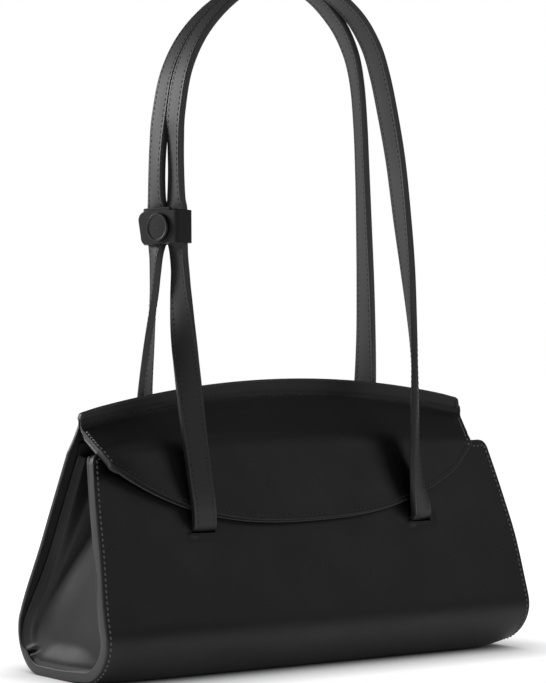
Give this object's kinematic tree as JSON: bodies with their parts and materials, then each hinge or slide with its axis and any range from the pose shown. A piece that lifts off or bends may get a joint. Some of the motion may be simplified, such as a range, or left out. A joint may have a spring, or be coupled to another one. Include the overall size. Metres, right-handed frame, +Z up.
{
  "type": "shoulder bag",
  "caption": "Small black leather shoulder bag of trapezoid section, with an arched standing seam, a short curved flap, and slim twin straps gathered by a snap keeper",
  "frame": {"origin": "middle of the base, on the face that the bag stands on", "axes": "+X runs along the bag towards the right end as seen from the front, +Y to the back, +Z up"},
  "size_m": [0.319, 0.1038, 0.4332],
  "materials": {
    "body_leather": "black fine-grain leather, low sheen",
    "gusset_leather": "black leather, slightly softer and lighter",
    "strap_leather": "black strap leather with painted edges",
    "lining": "smooth dark lining leather",
    "insert": "stiff board, dull black",
    "cap_enamel": "black enamel, soft sheen",
    "snap_metal": "dark nickel",
    "magnet": "nickel-plated"
  },
  "bodies": {
    "bag": {"front_panel": "body_leather", "back_panel": "body_leather", "base_panel": "body_leather", "left_gusset": "gusset_leather", "right_gusset": "gusset_leather", "front_lining": "lining", "back_lining": "lining", "base_lining": "lining", "base_insert": "insert", "inner_pocket": "lining", "seam_band": "body_leather", "front_magnets": "magnet", "front_strap_tabs": "strap_leather", "back_strap_tabs": "strap_leather"},
    "flap": {"flap_outer": "body_leather", "flap_lining": "lining", "flap_magnets": "magnet"},
    "front_strap": {"front_strap_outer": "strap_leather", "front_strap_lining": "strap_leather"},
    "back_strap": {"back_strap_outer": "strap_leather", "back_strap_lining": "strap_leather"},
    "keeper": {"keeper_band": "strap_leather", "snap_stud": "snap_metal", "snap_post": "snap_metal"},
    "keeper_tab": {"keeper_tab": "strap_leather", "snap_cap": "cap_enamel", "snap_socket": "snap_metal"}
  },
  "joints": [
    {"name": "flap_lift", "type": "hinge", "parent": "bag", "child": "flap", "pos_m": [0, 0.0081, 0.1672], "axis": [-1, 0, 0], "range_deg": [0, 130]},
    {"name": "front_strap_swing", "type": "hinge", "parent": "bag", "child": "front_strap", "pos_m": [0, -0.03438, 0.088], "axis": [1, 0, 0], "range_deg": [0, 100], "deforming": ["front_strap_outer", "front_strap_lining"]},
    {"name": "back_strap_swing", "type": "hinge", "parent": "bag", "child": "back_strap", "pos_m": [0, 0.03438, 0.088], "axis": [-1, 0, 0], "range_deg": [0, 95]},
    {"name": "keeper_slide", "type": "slide", "parent": "back_strap", "child": "keeper", "axis": [0, 0, 1], "range_m": [-0.003, 0.018]},
    {"name": "keeper_tab_open", "type": "hinge", "parent": "keeper", "child": "keeper_tab", "pos_m": [-0.08365, -0.01806, 0.27], "axis": [0, 0, 1], "range_deg": [0, 170]}
  ],
  "couplings": [
    {"joint": "front_strap_swing", "follows": "flap_lift", "ratio": 0.76923}
  ]
}
